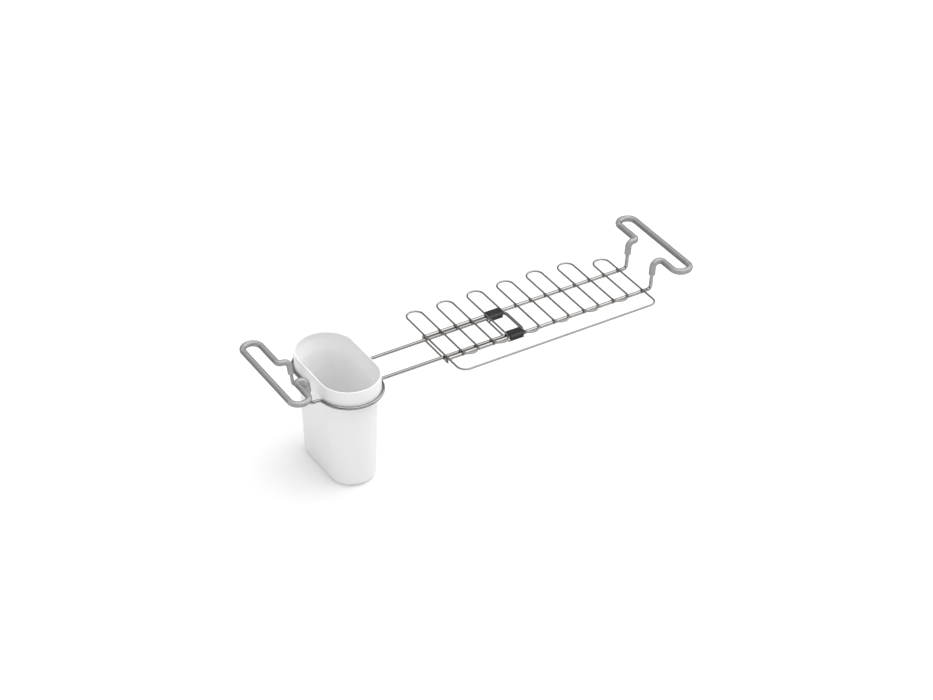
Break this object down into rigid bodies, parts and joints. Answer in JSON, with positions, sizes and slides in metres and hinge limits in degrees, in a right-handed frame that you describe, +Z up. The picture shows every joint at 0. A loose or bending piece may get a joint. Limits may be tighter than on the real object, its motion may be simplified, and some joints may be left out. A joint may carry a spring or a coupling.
{
  "type": "over-sink utility rack",
  "caption": "Expandable wire rack with vinyl-covered hook ends that spans a sink, with a front cloth bar and a lift-out cup on its sliding end.",
  "frame": {"origin": "point on the sink's rim under the middle of the deck hook's outer bar, at the sleeve's lowest point", "axes": "+X along the rack from the cup towards the deck hook, +Y across the rack towards the back, +Z up"},
  "size_m": [0.5606, 0.1469, 0.1658],
  "materials": {
    "deck_steel": "polished",
    "slider_steel": "polished",
    "wire_steel": "polished",
    "grey_vinyl": "satin, fine ribs across",
    "black_plastic": "matte, ribbed",
    "white_plastic": "satin gloss"
  },
  "bodies": {
    "deck": {"deck_rod": "deck_steel", "deck_hook_sleeve": "grey_vinyl", "grid_wire": "wire_steel", "towel_bar": "wire_steel", "deck_end_cross_wire": "wire_steel", "deck_mid_cross_wire": "wire_steel", "rear_slide_clip": "black_plastic", "front_slide_clip": "black_plastic"},
    "slider": {"slider_rod": "slider_steel", "cup_hook_sleeve": "grey_vinyl"},
    "cup": {"soaking_cup": "white_plastic"}
  },
  "joints": [
    {"name": "rack_slide", "type": "slide", "parent": "deck", "child": "slider", "axis": [1, 0, 0], "range_m": [0, 0.083]},
    {"name": "cup_lift", "type": "slide", "parent": "slider", "child": "cup", "axis": [0, 0, 1], "range_m": [0, 0.13]}
  ]
}
